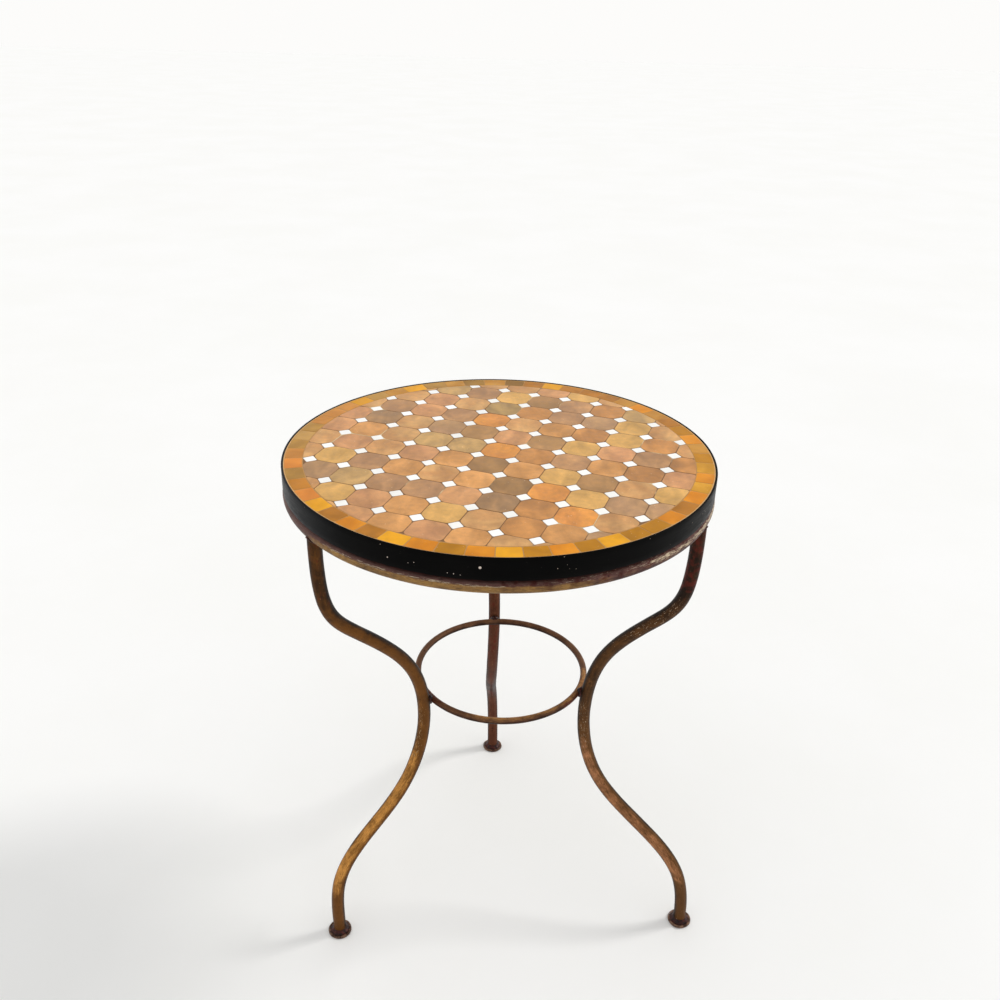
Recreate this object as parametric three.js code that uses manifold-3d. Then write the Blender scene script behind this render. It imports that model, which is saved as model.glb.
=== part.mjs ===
// A round mosaic-top table on a three-legged wrought-iron base.
// Millimetres, +Z up. The origin is on the floor, under the middle of the whole table.
// -Y is the front: one leg stands at the back, one at the front left, one at the front right.

import * as THREE from "three";
import { NURBSCurve } from "three/addons/curves/NURBSCurve.js";
import { mergeVertices } from "three/addons/utils/BufferGeometryUtils.js";
import Module from "manifold-3d";

const wasm = await Module();
wasm.setup();

// Driving dimensions of the top.
const TABLE_HEIGHT = 750;
const TOP_RADIUS = 300;
const BAND_HEIGHT = 31;
const BAND_THICKNESS = 3;
const BAND_CHAMFER = 0.6;
const TILE_THICKNESS = 8;
const TILE_BELOW_BAND = 0.5;
const GROUT_BED_THICKNESS = 2.5;
const BORDER_INNER_RADIUS = 271.5;
const BORDER_JOINT = 0.8;
const REBAR_RADIUS = 3;
const REBAR_OFFSET = 95;
const REBAR_SIDES = 8;

// Driving dimensions of the base.
const BAR_RADIUS = 9.5;
const RING_RADIUS = 291;
const STRETCHER_ROD_RADIUS = 5;
const STRETCHER_RADIUS = 129;
const STRETCHER_HEIGHT = 381;
const FOOT_RADIUS = 18;
const FOOT_THICKNESS = 4.5;
const FOOT_EDGE = 1;

// The base is made by eye: its waist sits this far to the right of the middle of the top.
const WAIST_OFFSET = 10;

// The middle of the whole table, feet included, is this far to the right of the middle of the top.
const TABLE_MIDDLE = 11;

// Touching pieces keep this gap.
const GAP = 0.3;

// Facets.
const DISC_SEGMENTS = 80;
const RING_SIDES = 12;
const STRETCHER_SEGMENTS = 56;
const STRETCHER_SIDES = 10;
const LEG_SIDES = 12;
const LEG_STEPS = 54;
const FOOT_SEGMENTS = 24;
const WELD_SEGMENTS = 16;

// Heights that follow from the dimensions above.
const BAND_BOTTOM = TABLE_HEIGHT - BAND_HEIGHT;
const TILE_TOP = TABLE_HEIGHT - TILE_BELOW_BAND;
const TILE_BOTTOM = TILE_TOP - TILE_THICKNESS;
const GROUT_TOP = TILE_BOTTOM - GAP;
const GROUT_BOTTOM = GROUT_TOP - GROUT_BED_THICKNESS;
const SLAB_TOP = GROUT_BOTTOM - GAP;
const RING_HEIGHT = BAND_BOTTOM - GAP - BAR_RADIUS;
const LEG_TOP = RING_HEIGHT - BAR_RADIUS - GAP;
const LEG_BOTTOM = FOOT_THICKNESS + GAP;
const FILL_RADIUS = TOP_RADIUS - BAND_THICKNESS - GAP;

// The S-bend of a leg, as the control points of a smooth curve: height, distance from the middle of
// the top, and share of the waist's offset. The last two points at each end lie above one another,
// so the ends stand upright.
const LEG_REACH = 294;
const LEG_CONTROL_POINTS = [
  [LEG_BOTTOM, LEG_REACH, 0],
  [30, LEG_REACH, 0],
  [103, 300, 0],
  [164, 252, 0],
  [220, 177, 0.3],
  [304, 141, 0.8],
  [396, 141, 1.1],
  [473, 169, 0.9],
  [546, 247, 0.3],
  [590, 292, 0],
  [685, RING_RADIUS, 0],
  [LEG_TOP, RING_RADIUS, 0],
];
const CURVE_DEGREE = 3;

// Below the knee a leg runs out to the reach of its own foot; below the waist it also turns to it.
const FOOT_UPRIGHT_HEIGHT = 60;
const KNEE_HEIGHT = 220;
const WAIST_HEIGHT = 360;

// Each leg is bent by hand, so its foot has its own reach and may stand a little round from its top.
const LEGS = [
  { side: "left", azimuth: 217, footAzimuth: 217, reach: 293 },
  { side: "right", azimuth: 334.5, footAzimuth: 334.5, reach: 338 },
  { side: "back", azimuth: 94.5, footAzimuth: 89.5, reach: 262 },
];

const bandPaint = new THREE.MeshStandardMaterial({ color: 0x1b1b1d, roughness: 0.45, metalness: 0.3 });
const cement = new THREE.MeshStandardMaterial({ color: 0xb3aa98, roughness: 0.95, metalness: 0 });
const bareIron = new THREE.MeshStandardMaterial({ color: 0x5a4638, roughness: 0.75, metalness: 0.7 });
const groutMix = new THREE.MeshStandardMaterial({ color: 0xcdb795, roughness: 0.9, metalness: 0 });
const tanGlaze = new THREE.MeshStandardMaterial({ color: 0xc08c54, roughness: 0.35, metalness: 0 });
const amberGlaze = new THREE.MeshStandardMaterial({ color: 0xc98420, roughness: 0.3, metalness: 0 });
const bronzePatina = new THREE.MeshStandardMaterial({ color: 0x5c3b1c, roughness: 0.5, metalness: 0.7 });
const ringPatina = new THREE.MeshStandardMaterial({ color: 0x5b4137, roughness: 0.55, metalness: 0.6 });
const weldMetal = new THREE.MeshStandardMaterial({ color: 0x3c1c16, roughness: 0.4, metalness: 0.6 });

const table = new THREE.Group();
const top = new THREE.Group();
const base = new THREE.Group();
table.add(top, base);

function addPiece(group, name, geometry, material) {
  const mesh = new THREE.Mesh(geometry, material);
  mesh.name = name;
  group.add(mesh);
  return mesh;
}

// Turns a profile of [radius, height] pairs round the Z axis.
function turned(profile, segments) {
  const points = profile.map(([radius, height]) => new THREE.Vector2(radius, height));
  return new THREE.LatheGeometry(points, segments).rotateX(Math.PI / 2);
}

function disc(radius, bottom, height) {
  return turned([[0, bottom], [radius, bottom], [radius, height], [0, height]], DISC_SEGMENTS);
}

// A flat ring; its profile runs round the section and closes on itself.
function flatRing(inner, outer, bottom, height) {
  const profile = [[inner, bottom], [outer, bottom], [outer, height], [inner, height], [inner, bottom]];
  return turned(profile, DISC_SEGMENTS);
}

// A round bar along a curve, with flat ends.
function bar(curve, radius, sides, steps) {
  const section = new THREE.Shape(
    Array.from({ length: sides }, (_, i) => {
      const angle = (2 * Math.PI * i) / sides;
      return new THREE.Vector2(radius * Math.cos(angle), radius * Math.sin(angle));
    }),
  );
  return new THREE.ExtrudeGeometry(section, { steps, bevelEnabled: false, extrudePath: curve });
}

function toSolid(geometry) {
  const bare = geometry.clone();
  bare.deleteAttribute("normal");
  bare.deleteAttribute("uv");
  const merged = mergeVertices(bare, 1e-3);
  return new wasm.Manifold(
    new wasm.Mesh({
      numProp: 3,
      vertProperties: merged.attributes.position.array,
      triVerts: new Uint32Array(merged.index.array),
    }),
  );
}

function toGeometry(solid) {
  const mesh = solid.getMesh();
  const geometry = new THREE.BufferGeometry();
  geometry.setAttribute("position", new THREE.BufferAttribute(mesh.vertProperties, 3));
  geometry.setIndex(new THREE.BufferAttribute(mesh.triVerts, 1));
  geometry.computeVertexNormals();
  return geometry;
}

function onCircle(radius, degrees, height) {
  const angle = THREE.MathUtils.degToRad(degrees);
  return new THREE.Vector3(radius * Math.cos(angle), radius * Math.sin(angle), height);
}

// ---- The top ----

// Flat-iron hoop with its corners eased.
const bandInner = TOP_RADIUS - BAND_THICKNESS;
addPiece(
  top,
  "rim_band",
  turned(
    [
      [bandInner, BAND_BOTTOM],
      [TOP_RADIUS - BAND_CHAMFER, BAND_BOTTOM],
      [TOP_RADIUS, BAND_BOTTOM + BAND_CHAMFER],
      [TOP_RADIUS, TABLE_HEIGHT - BAND_CHAMFER],
      [TOP_RADIUS - BAND_CHAMFER, TABLE_HEIGHT],
      [bandInner, TABLE_HEIGHT],
      [bandInner, BAND_BOTTOM],
    ],
    DISC_SEGMENTS,
  ),
  bandPaint,
);

// Reinforcing rods, in two crossing pairs, one pair lying above the other.
const slabMiddle = (BAND_BOTTOM + SLAB_TOP) / 2;
const rebarRise = REBAR_RADIUS + GAP;
const rebars = [
  { name: "rebar_x_front", alongX: true, offset: -REBAR_OFFSET, height: slabMiddle + rebarRise },
  { name: "rebar_x_back", alongX: true, offset: REBAR_OFFSET, height: slabMiddle + rebarRise },
  { name: "rebar_y_left", alongX: false, offset: -REBAR_OFFSET, height: slabMiddle - rebarRise },
  { name: "rebar_y_right", alongX: false, offset: REBAR_OFFSET, height: slabMiddle - rebarRise },
];

function rebarRod(rebar, radius, halfLength) {
  const rod = new THREE.CylinderGeometry(radius, radius, 2 * halfLength, REBAR_SIDES);
  if (rebar.alongX) rod.rotateZ(Math.PI / 2);
  const x = rebar.alongX ? 0 : rebar.offset;
  const y = rebar.alongX ? rebar.offset : 0;
  return rod.translate(x, y, rebar.height);
}

// Each rod ends a little short of the hoop; its channel in the slab opens at the slab's edge.
const rebarHalfLength = Math.sqrt(FILL_RADIUS ** 2 - REBAR_OFFSET ** 2) - REBAR_RADIUS;
let slab = toSolid(disc(FILL_RADIUS, BAND_BOTTOM, SLAB_TOP));
for (const rebar of rebars) {
  addPiece(top, rebar.name, rebarRod(rebar, REBAR_RADIUS, rebarHalfLength), bareIron);
  slab = slab.subtract(toSolid(rebarRod(rebar, REBAR_RADIUS + GAP, TOP_RADIUS)));
}
addPiece(top, "cement_slab", toGeometry(slab), cement);

addPiece(top, "grout_bed", disc(FILL_RADIUS, GROUT_BOTTOM, GROUT_TOP), groutMix);
addPiece(
  top,
  "mosaic_field",
  disc(BORDER_INNER_RADIUS - BORDER_JOINT / 2, TILE_BOTTOM, TILE_TOP),
  tanGlaze,
);
addPiece(
  top,
  "border_mosaic",
  flatRing(BORDER_INNER_RADIUS + BORDER_JOINT / 2, FILL_RADIUS, TILE_BOTTOM, TILE_TOP),
  amberGlaze,
);

// ---- The base ----

addPiece(
  base,
  "support_ring",
  new THREE.TorusGeometry(RING_RADIUS, BAR_RADIUS, RING_SIDES, DISC_SEGMENTS),
  ringPatina,
).position.z = RING_HEIGHT;

function stretcherRing(rodRadius) {
  const ring = new THREE.TorusGeometry(STRETCHER_RADIUS, rodRadius, STRETCHER_SIDES, STRETCHER_SEGMENTS);
  return ring.translate(WAIST_OFFSET, 0, STRETCHER_HEIGHT);
}
addPiece(base, "stretcher_ring", stretcherRing(STRETCHER_ROD_RADIUS), bronzePatina);

// Knots of a curve that starts and ends on its first and last control points.
function clampedKnots(pointCount, degree) {
  const spans = pointCount - degree;
  return Array.from({ length: pointCount + degree + 1 }, (_, i) =>
    THREE.MathUtils.clamp((i - degree) / spans, 0, 1),
  );
}

function footShare(height, topHeight) {
  return 1 - THREE.MathUtils.smoothstep(height, FOOT_UPRIGHT_HEIGHT, topHeight);
}

function legCurve(leg) {
  const points = LEG_CONTROL_POINTS.map(([height, radius, waistShare]) => {
    const reach = radius + (leg.reach - LEG_REACH) * footShare(height, KNEE_HEIGHT);
    const turn = (leg.footAzimuth - leg.azimuth) * footShare(height, WAIST_HEIGHT);
    const point = onCircle(reach, leg.azimuth + turn, height);
    point.x += WAIST_OFFSET * waistShare;
    return point;
  });
  return new NURBSCurve(CURVE_DEGREE, clampedKnots(points.length, CURVE_DEGREE), points);
}

// The beads round a leg's ends start just clear of its skin and thin out to a lip.
const BEAD_INNER_RADIUS = BAR_RADIUS + GAP + 0.2;
const BEAD_LIP = 0.8;
const BEAD_SHOULDER = 2;

// Bead round the top of a leg, under the support ring.
const RING_BEAD_RADIUS = 12.6;
const RING_BEAD_BOTTOM = LEG_TOP - 4;
const ringBead = [
  [BEAD_INNER_RADIUS, RING_BEAD_BOTTOM],
  [BEAD_INNER_RADIUS + BEAD_LIP, RING_BEAD_BOTTOM],
  [RING_BEAD_RADIUS, LEG_TOP - BEAD_SHOULDER],
  [RING_BEAD_RADIUS, LEG_TOP],
  [BEAD_INNER_RADIUS, LEG_TOP],
  [BEAD_INNER_RADIUS, RING_BEAD_BOTTOM],
];

// Bead round the bottom of a leg, on the foot disc.
const FOOT_BEAD_RADIUS = 14.5;
const FOOT_BEAD_TOP = LEG_BOTTOM + 6;
const footBead = [
  [BEAD_INNER_RADIUS, LEG_BOTTOM],
  [FOOT_BEAD_RADIUS, LEG_BOTTOM],
  [FOOT_BEAD_RADIUS - BEAD_LIP, LEG_BOTTOM + BEAD_SHOULDER],
  [BEAD_INNER_RADIUS + BEAD_LIP, FOOT_BEAD_TOP],
  [BEAD_INNER_RADIUS, FOOT_BEAD_TOP],
  [BEAD_INNER_RADIUS, LEG_BOTTOM],
];

const footDisc = [
  [0, 0],
  [FOOT_RADIUS - FOOT_EDGE, 0],
  [FOOT_RADIUS, FOOT_EDGE],
  [FOOT_RADIUS, FOOT_THICKNESS - FOOT_EDGE],
  [FOOT_RADIUS - FOOT_EDGE, FOOT_THICKNESS],
  [0, FOOT_THICKNESS],
];

// Weld blob where the stretcher ring touches the inside of a leg, cut back to both bars.
const BLOB_RADIUS = 8;
const BLOB_STRETCH = 1.15;
const BLOB_RINGS = 10;
const stretcherWithGap = toSolid(stretcherRing(STRETCHER_ROD_RADIUS + GAP));

function stretcherWeld(leg) {
  const touch = onCircle(
    STRETCHER_RADIUS + STRETCHER_ROD_RADIUS + GAP / 2,
    leg.azimuth,
    STRETCHER_HEIGHT,
  );
  const blob = new THREE.SphereGeometry(BLOB_RADIUS, WELD_SEGMENTS, BLOB_RINGS)
    .rotateX(Math.PI / 2)
    .scale(1, 1, BLOB_STRETCH)
    .translate(touch.x + WAIST_OFFSET, touch.y, touch.z);
  const legWithGap = toSolid(bar(legCurve(leg), BAR_RADIUS + GAP, LEG_SIDES, LEG_STEPS));
  return toGeometry(toSolid(blob).subtract(legWithGap).subtract(stretcherWithGap));
}

for (const leg of LEGS) {
  const legTop = onCircle(RING_RADIUS, leg.azimuth, 0);
  const foot = onCircle(leg.reach, leg.footAzimuth, 0);
  addPiece(base, `leg_${leg.side}`, bar(legCurve(leg), BAR_RADIUS, LEG_SIDES, LEG_STEPS), bronzePatina);
  addPiece(base, `foot_${leg.side}`, turned(footDisc, FOOT_SEGMENTS), weldMetal).position.copy(foot);
  addPiece(base, `weld_ring_${leg.side}`, turned(ringBead, WELD_SEGMENTS), weldMetal).position.copy(legTop);
  addPiece(base, `weld_foot_${leg.side}`, turned(footBead, WELD_SEGMENTS), weldMetal).position.copy(foot);
  addPiece(base, `weld_stretcher_${leg.side}`, stretcherWeld(leg), weldMetal);
}

table.position.x = -TABLE_MIDDLE;

export default table;
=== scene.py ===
"""The looks of a round mosaic-top table on a three-legged wrought-iron base.

Metres, +Z up, -Y the front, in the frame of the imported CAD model. The single tiles, the grout
between them and all the iron outside are made here in full, in place of the plain CAD pieces. Only
the slab and the rods inside it keep their CAD shapes.
"""

import math
import random

import bpy
from mathutils import Matrix, Vector, noise


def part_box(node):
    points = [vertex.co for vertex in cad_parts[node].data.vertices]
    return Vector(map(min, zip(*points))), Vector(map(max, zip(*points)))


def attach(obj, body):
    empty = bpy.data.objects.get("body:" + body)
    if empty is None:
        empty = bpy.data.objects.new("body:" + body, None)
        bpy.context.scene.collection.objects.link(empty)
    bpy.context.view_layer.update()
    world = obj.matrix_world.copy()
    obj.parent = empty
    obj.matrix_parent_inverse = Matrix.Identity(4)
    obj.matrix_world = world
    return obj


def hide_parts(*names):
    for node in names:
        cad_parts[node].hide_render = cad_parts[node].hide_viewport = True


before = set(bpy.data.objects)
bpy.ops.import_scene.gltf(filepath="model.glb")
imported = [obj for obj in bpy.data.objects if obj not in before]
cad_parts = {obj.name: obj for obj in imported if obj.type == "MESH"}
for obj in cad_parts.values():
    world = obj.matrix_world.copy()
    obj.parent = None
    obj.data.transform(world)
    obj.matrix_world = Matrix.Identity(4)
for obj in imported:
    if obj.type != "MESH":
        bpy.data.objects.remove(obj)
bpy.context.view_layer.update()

MM = 0.001
UP = Vector((0, 0, 1))

# ---- Driving dimensions of the mosaic ----

# Octagons stand on a square lattice that is turned a little, with a small square at each crossing.
TILE_PITCH = 51.2 * MM
LATTICE_TURN = math.radians(-19.8)
LATTICE_CENTRE = Vector((1.4 * MM, 4.7 * MM))
LATTICE_REACH = 6
LATTICE_STRAY = 0.22 * MM
SQUARE_SIDE = 15.2 * MM
SQUARE_TURN = 0.06
JOINT = 0.7 * MM
TILE_THICKNESS = 8 * MM
FIELD_SMALLEST = 60 * MM * MM
SQUARE_SMALLEST = 90 * MM * MM
BORDER_COUNT = 54
BORDER_START = math.radians(2)
BORDER_WIDTH_VARIATION = 0.07
BORDER_SKEW = 0.4 * MM
BORDER_OUTER_JOINT = 1.0 * MM
GROUT_BELOW_TILE = 0.32 * MM
CORNERS = ((-1, -1), (1, -1), (1, 1), (-1, 1))

# Added to a tile's number, so that each kind of tile has its own seeds.
SQUARE_SEED = 2000
BORDER_SEED = 4000

# How much the whole palette of each kind of tile is warmed: factors on red, green and blue.
FIELD_WARMTH = (1.02, 1.01, 0.9)
BORDER_WARMTH = (1.03, 1.0, 0.6)

# The tans are one glaze that fired unevenly, so each tone is drawn this far towards the plain tan.
PLAIN_TAN = 0xCE9A66
EVENNESS = 0.14

# Tones of the tiles: the main glaze and the one it clouds into, as sRGB. Each holds the tile's own
# tone and a painted sheen: the pale haze of the glaze's reflection, which dulls the tiles at the back
# and left, is in these tones, so the glazes are given little reflection.
WHITE_TONES = (0xFCFBF8, 0xF6F4EE)
FIELD_TONES = {
    "s": (0xD2A26C, 0xC48E5C),
    "t": (0xCF9668, 0xBC8560),
    "a": (0xDA9C60, 0xC48A50),
    "o": (0xE0943F, 0xCC8440),
    "y": (0xDAA962, 0xC69A58),
    "l": (0xC29C66, 0xAD8C5E),
    "v": (0xA88A58, 0x9A7E58),
    "b": (0xC6884C, 0xAA7442),
    "p": (0xBE8E64, 0xA67C5C),
    "c": (0xA88264, 0xB48C66),
    "g": (0x9A744A, 0xAC8054),
    "k": (0x8C6E54, 0xA27C58),
}

# Which octagon has which tone: rows from the back of the table to the front, left to right.
FIELD_ROWS = (
    "sssssssssss",
    "ssssstyssss",
    "sslpygpblss",
    "sstsvbpcyss",
    "sptposabybs",
    "tkscgtgytpb",
    "tasllobpabt",
    "ststagaygsy",
    "sypasagoycc",
    "sclpptkboss",
    "ssytaysbacs",
    "ssstatassss",
    "sssssssssss",
)

# The border tones hold the same painted sheen.
BORDER_TONES = {
    "m": (0xC8924E, 0xB8803C),
    "O": (0xE0922C, 0xCE8020),
    "d": (0xC08420, 0xAE7618),
    "b": (0xBC7C34, 0xA46C2A),
    "Y": (0xEAA828, 0xD89824),
    "y": (0xDAA040, 0xC48C30),
    "k": (0x9C743A, 0x8A6430),
    "g": (0xB88C54, 0xA67C48),
    "s": (0xCC8C50, 0xBC7E46),
    "S": (0xDC8C48, 0xCC7E40),
    "p": (0xBE9468, 0xB0885C),
}

# Which border tile has which tone, anticlockwise from the one at the right.
BORDER_ROW = "mOdbmOmbbbYbk" + "mkmgYmgYsssgpg" + "sSgbSYbObYOdO" + "YdOdYddObOyOyd"

# ---- Driving dimensions of the iron ----

HOOP_THICKNESS = 3 * MM
# Chips in the hoop's paint: azimuth in degrees, millimetres above the lower edge, and size.
HOOP_CHIPS = (
    (265.8, 17.8, 1.6 * MM),
    (244.3, 12.5, 0.7 * MM),
    (250.9, 13.8, 0.4 * MM),
    (249.5, 11.8, 0.3 * MM),
    (258.6, 7.2, 0.5 * MM),
    (260.0, 6.8, 0.6 * MM),
    (261.5, 6.2, 0.5 * MM),
    (285.0, 18.5, 0.3 * MM),
)

ROD_RADIUS = 5 * MM
STRETCHER_RADIUS = 129 * MM
WELD_BEAD_RADIUS = 1.2 * MM
# A leg's control points: height and distance from the middle in millimetres, and how much of the
# waist ring's offset from the top's middle the point follows.
CONTROL_POINTS = (
    (4.8, 294, 0),
    (30, 294, 0),
    (103, 300, 0),
    (164, 252, 0),
    (220, 177, 0.3),
    (304, 141, 0.8),
    (396, 141, 1.1),
    (473, 169, 0.9),
    (546, 247, 0.3),
    (590, 292, 0),
    (685, 291, 0),
    (699.4, 291, 0),
)
FOOT_UPRIGHT_HEIGHT = 60 * MM
KNEE_HEIGHT = 220 * MM
WAIST_HEIGHT = 360 * MM
LEG_SIDES = ("left", "right", "back")


# ---- Small tools ----


def box_centre(node):
    low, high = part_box(node)
    return (low + high) / 2


TOP_MIDDLE = Vector((*box_centre("rim_band").to_2d(), 0))
WAIST_MIDDLE = Vector((*box_centre("stretcher_ring").to_2d(), 0))
HOOP_LOW, HOOP_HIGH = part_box("rim_band")
HOOP_RADIUS = (HOOP_HIGH.x - HOOP_LOW.x) / 2
RING_LOW, RING_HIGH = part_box("support_ring")
RING_HEIGHT = (RING_LOW.z + RING_HIGH.z) / 2
BAR_RADIUS = (RING_HIGH.z - RING_LOW.z) / 2


def linear(colour):
    """A 0xRRGGBB sRGB colour as linear RGBA."""
    channels = [((colour >> shift) & 255) / 255 for shift in (16, 8, 0)]
    values = [c / 12.92 if c <= 0.04045 else ((c + 0.055) / 1.055) ** 2.4 for c in channels]
    return (*values, 1.0)


def smoothstep(low, high, value):
    t = min(1.0, max(0.0, (value - low) / (high - low)))
    return t * t * (3 - 2 * t)


def window(low, high, fade, value):
    """1 between low and high, falling to 0 over fade on each side."""
    return smoothstep(low - fade, low, value) * (1 - smoothstep(high, high + fade, value))


def wobble(point, scale, seed):
    """Smooth noise from -1 to 1, for a feature of 1/scale metres."""
    return noise.noise(Vector(point) * scale + Vector((seed, seed * 1.7, seed * 0.6)))


def polar(radius, angle, height=0.0):
    return Vector((radius * math.cos(angle), radius * math.sin(angle), height))


def azimuth_of(vector):
    return math.degrees(math.atan2(vector.y, vector.x)) % 360


def add_piece(name, points, faces, body, material, node, sharp=50):
    """A smooth-shaded mesh that rides on a body and stands for a CAD node."""
    mesh = bpy.data.meshes.new(name)
    mesh.from_pydata([tuple(p) for p in points], [], faces)
    mesh.validate()
    mesh.polygons.foreach_set("use_smooth", [True] * len(mesh.polygons))
    mesh.set_sharp_from_angle(angle=math.radians(sharp))
    mesh.materials.append(material)
    piece = bpy.data.objects.new(name, mesh)
    bpy.context.scene.collection.objects.link(piece)
    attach(piece, body)
    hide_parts(node)
    return piece


def set_values(piece, name, values):
    attribute = piece.data.attributes.new(name, "FLOAT", "POINT")
    attribute.data.foreach_set("value", values)


def set_vectors(piece, name, vectors):
    attribute = piece.data.attributes.new(name, "FLOAT_VECTOR", "POINT")
    attribute.data.foreach_set("vector", [c for v in vectors for c in v])


def set_colour(piece, name, colour):
    attribute = piece.data.attributes.new(name, "FLOAT_COLOR", "POINT")
    attribute.data.foreach_set("color", list(colour) * len(piece.data.vertices))


# ---- Node graphs ----


class Graph:
    """One material's nodes, with its Principled shader ready."""

    def __init__(self, name):
        self.material = bpy.data.materials.new(name)
        self.material.use_nodes = True
        self.tree = self.material.node_tree
        self.shader = self.tree.nodes["Principled BSDF"]

    def feed(self, socket, value):
        if isinstance(value, bpy.types.NodeSocket):
            self.tree.links.new(value, socket)
        elif value is not None:
            socket.default_value = value

    def set(self, **values):
        for name, value in values.items():
            self.feed(self.shader.inputs[name.replace("_", " ")], value)

    def attribute(self, name, output="Fac"):
        node = self.tree.nodes.new("ShaderNodeAttribute")
        node.attribute_name = name
        return node.outputs[output]

    def position(self):
        return self.tree.nodes.new("ShaderNodeTexCoord").outputs["Object"]

    def part(self, vector, axis):
        node = self.tree.nodes.new("ShaderNodeSeparateXYZ")
        self.feed(node.inputs[0], vector)
        return node.outputs[axis]

    def vector_math(self, operation, first, second=None, scale=None, output="Vector"):
        node = self.tree.nodes.new("ShaderNodeVectorMath")
        node.operation = operation
        self.feed(node.inputs[0], first)
        self.feed(node.inputs[1], second)
        if scale is not None:
            self.feed(node.inputs["Scale"], scale)
        return node.outputs[output]

    def shifted(self, vector, amount):
        """The vector moved by a different step for each value of amount."""
        step = self.vector_math("SCALE", (0.37, 0.61, 0.83), scale=amount)
        return self.vector_math("ADD", vector, step)

    def stretched(self, vector, factors):
        return self.vector_math("MULTIPLY", vector, factors)

    def noise(self, vector, scale, detail=4.0, roughness=0.55, distortion=0.0):
        node = self.tree.nodes.new("ShaderNodeTexNoise")
        self.feed(node.inputs["Vector"], vector)
        node.inputs["Scale"].default_value = scale
        node.inputs["Detail"].default_value = detail
        node.inputs["Roughness"].default_value = roughness
        node.inputs["Distortion"].default_value = distortion
        return node.outputs[0]

    def cells(self, vector, scale):
        node = self.tree.nodes.new("ShaderNodeTexVoronoi")
        self.feed(node.inputs["Vector"], vector)
        node.inputs["Scale"].default_value = scale
        return node.outputs["Distance"]

    def remap(self, value, low, high, start=0.0, end=1.0):
        node = self.tree.nodes.new("ShaderNodeMapRange")
        node.interpolation_type = "SMOOTHSTEP"
        self.feed(node.inputs["Value"], value)
        node.inputs["From Min"].default_value = low
        node.inputs["From Max"].default_value = high
        node.inputs["To Min"].default_value = start
        node.inputs["To Max"].default_value = end
        return node.outputs["Result"]

    def math(self, operation, first, second):
        node = self.tree.nodes.new("ShaderNodeMath")
        node.operation = operation
        self.feed(node.inputs[0], first)
        self.feed(node.inputs[1], second)
        return node.outputs[0]

    def blend(self, amount, first, second):
        node = self.tree.nodes.new("ShaderNodeMix")
        node.data_type = "RGBA"
        self.feed(node.inputs["Factor"], amount)
        self.feed(node.inputs[6], first)
        self.feed(node.inputs[7], second)
        return node.outputs[2]

    def shade(self, colour, value, low, high):
        """The colour times low where the value is 0 and times high where it is 1."""
        return self.vector_math("SCALE", colour, scale=self.remap(value, 0.0, 1.0, low, high))

    def bump(self, height, distance, strength, normal=None):
        node = self.tree.nodes.new("ShaderNodeBump")
        node.inputs["Distance"].default_value = distance
        node.inputs["Strength"].default_value = strength
        self.feed(node.inputs["Height"], height)
        self.feed(node.inputs["Normal"], normal)
        return node.outputs[0]


# ---- Materials ----


def glaze(name, roughness, shine, clouds, wear):
    """Hand-cut glazed tile: clouded colour, fine mottle, pinholes, pale chips along the edges.

    shine is the reflection's level, clouds how soft the clouding is, wear how strong the marks are.
    """
    g = Graph(name)
    place = g.shifted(g.position(), g.attribute("seed"))
    cloud = g.noise(place, 21, 2.0, 0.45, 0.5)
    drift = g.noise(g.stretched(place, (1.0, 0.5, 1.0)), 34, 2.0, 0.5, 0.8)
    mottle = g.noise(place, 120, 4.0, 0.6)
    speckle = g.noise(place, 800, 2.0)
    colour = g.blend(
        g.remap(cloud, 0.5 - clouds, 0.5 + clouds),
        g.attribute("tint", "Color"),
        g.attribute("smudge", "Color"),
    )
    colour = g.shade(colour, drift, 1 - 0.36 * wear, 1 + 0.36 * wear)
    colour = g.shade(colour, mottle, 1 - 0.2 * wear, 1 + 0.2 * wear)
    colour = g.shade(colour, speckle, 1 - 0.08 * wear, 1 + 0.08 * wear)
    rim = g.attribute("rim")
    # The glaze is darker towards the tile's rim.
    edge = g.remap(g.math("ADD", rim, g.math("MULTIPLY", mottle, 0.5)), 0.6, 1.3, 0.0, 0.3)
    colour = g.blend(edge, colour, linear(0x7A5634))
    scratch = g.noise(g.stretched(place, (1.0, 0.16, 1.0)), 420, 3.0, 0.7, 1.4)
    colour = g.blend(g.remap(scratch, 0.68, 0.76, 0.0, 0.3 * wear), colour, linear(0xEBCB9C))
    pit_gate = g.remap(g.noise(place, 50, 1.0), 0.6, 0.64)
    pit = g.math("MULTIPLY", g.remap(g.cells(place, 190), 0.14, 0.06), pit_gate)
    colour = g.blend(g.math("MULTIPLY", pit, 0.8 * wear), colour, linear(0xF0DDBC))
    chip_noise = g.noise(place, 330, 2.0, 0.6)
    chip = g.remap(g.math("ADD", rim, chip_noise), 1.6, 1.66)
    colour = g.blend(chip, colour, linear(0xDCC08E))
    rough = g.remap(mottle, 0.3, 0.7, roughness - 0.05, roughness + 0.08)
    rough = g.math("ADD", rough, g.math("MULTIPLY", chip, 0.4))
    swell = g.bump(g.noise(place, 30, 2.0), 1.2 * MM, 0.5)
    grain = g.bump(g.math("SUBTRACT", mottle, pit), 0.14 * MM, 0.4, swell)
    g.set(Base_Color=colour, Roughness=rough, Normal=grain, Specular_IOR_Level=shine)
    return g.material


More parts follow.
